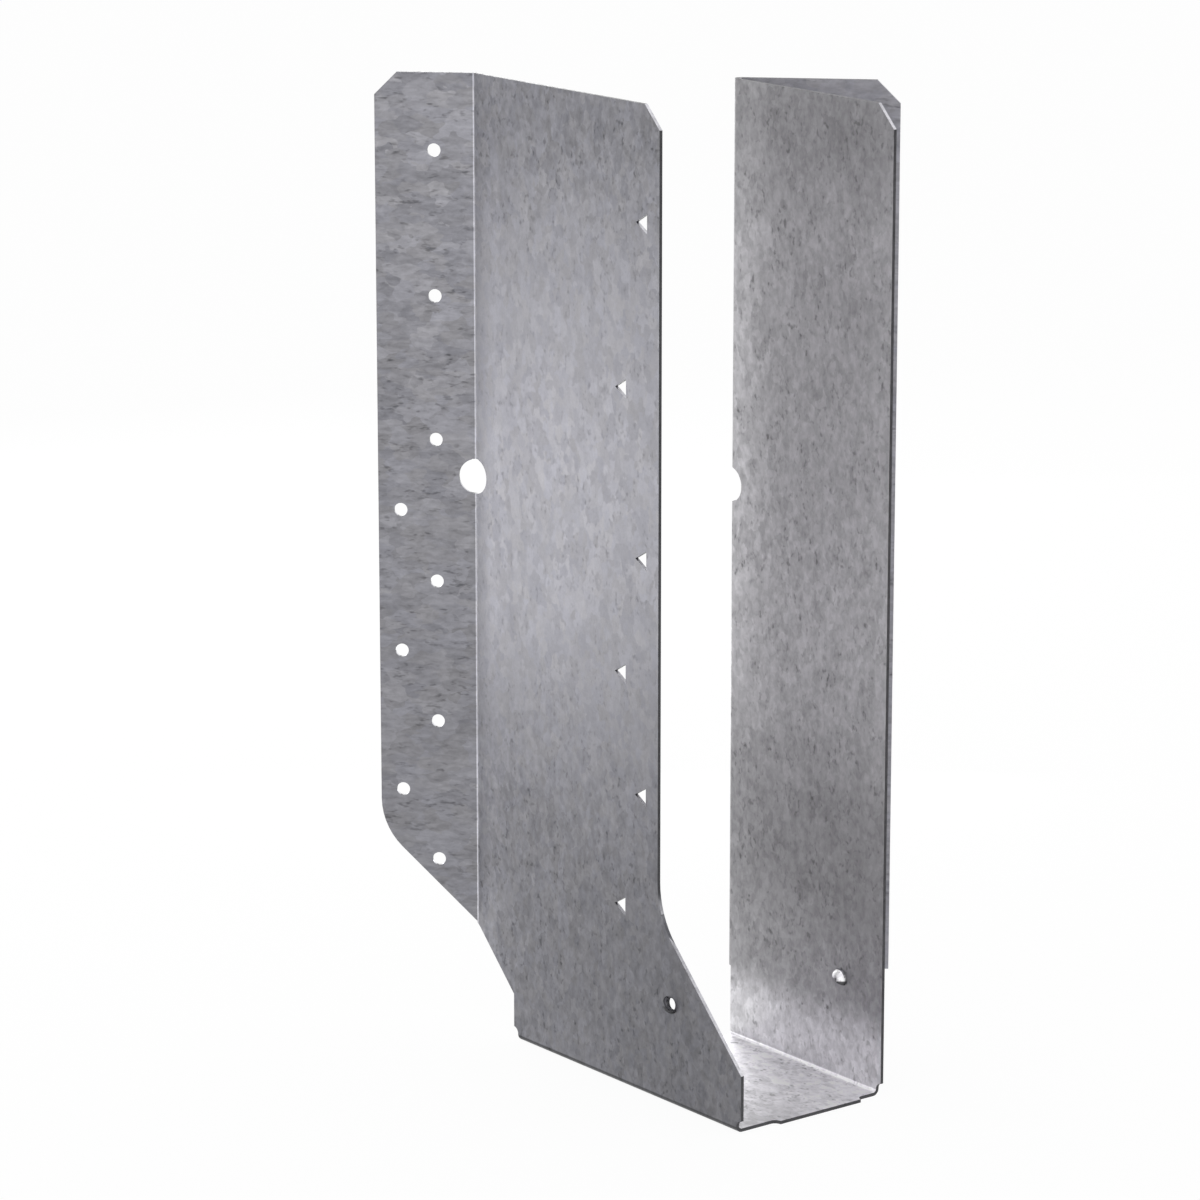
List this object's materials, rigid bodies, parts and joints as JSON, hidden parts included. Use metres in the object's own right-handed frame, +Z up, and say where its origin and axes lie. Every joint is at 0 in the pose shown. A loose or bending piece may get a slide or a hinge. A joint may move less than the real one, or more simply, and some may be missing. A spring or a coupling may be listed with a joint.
{
  "type": "joist hanger",
  "caption": "Skewed face-mount joist hanger folded from one galvanised sheet, with header flanges and a seat that carries a joist at 45 degrees to the header.",
  "frame": {"origin": "middle of the seat's top face, where the joist bears", "axes": "+Z up along the side plates, +Y square to the header face and into the header, +X along the header from the left flange to the right one. The joist leaves between -Y and +X at 45 degrees."},
  "size_m": [0.1883, 0.1081, 0.351],
  "materials": {
    "galvanised_steel": "hot-dip galvanised sheet, fine soft spangle, satin"
  },
  "bodies": {
    "root": {"hanger": "galvanised_steel"}
  },
  "joints": []
}
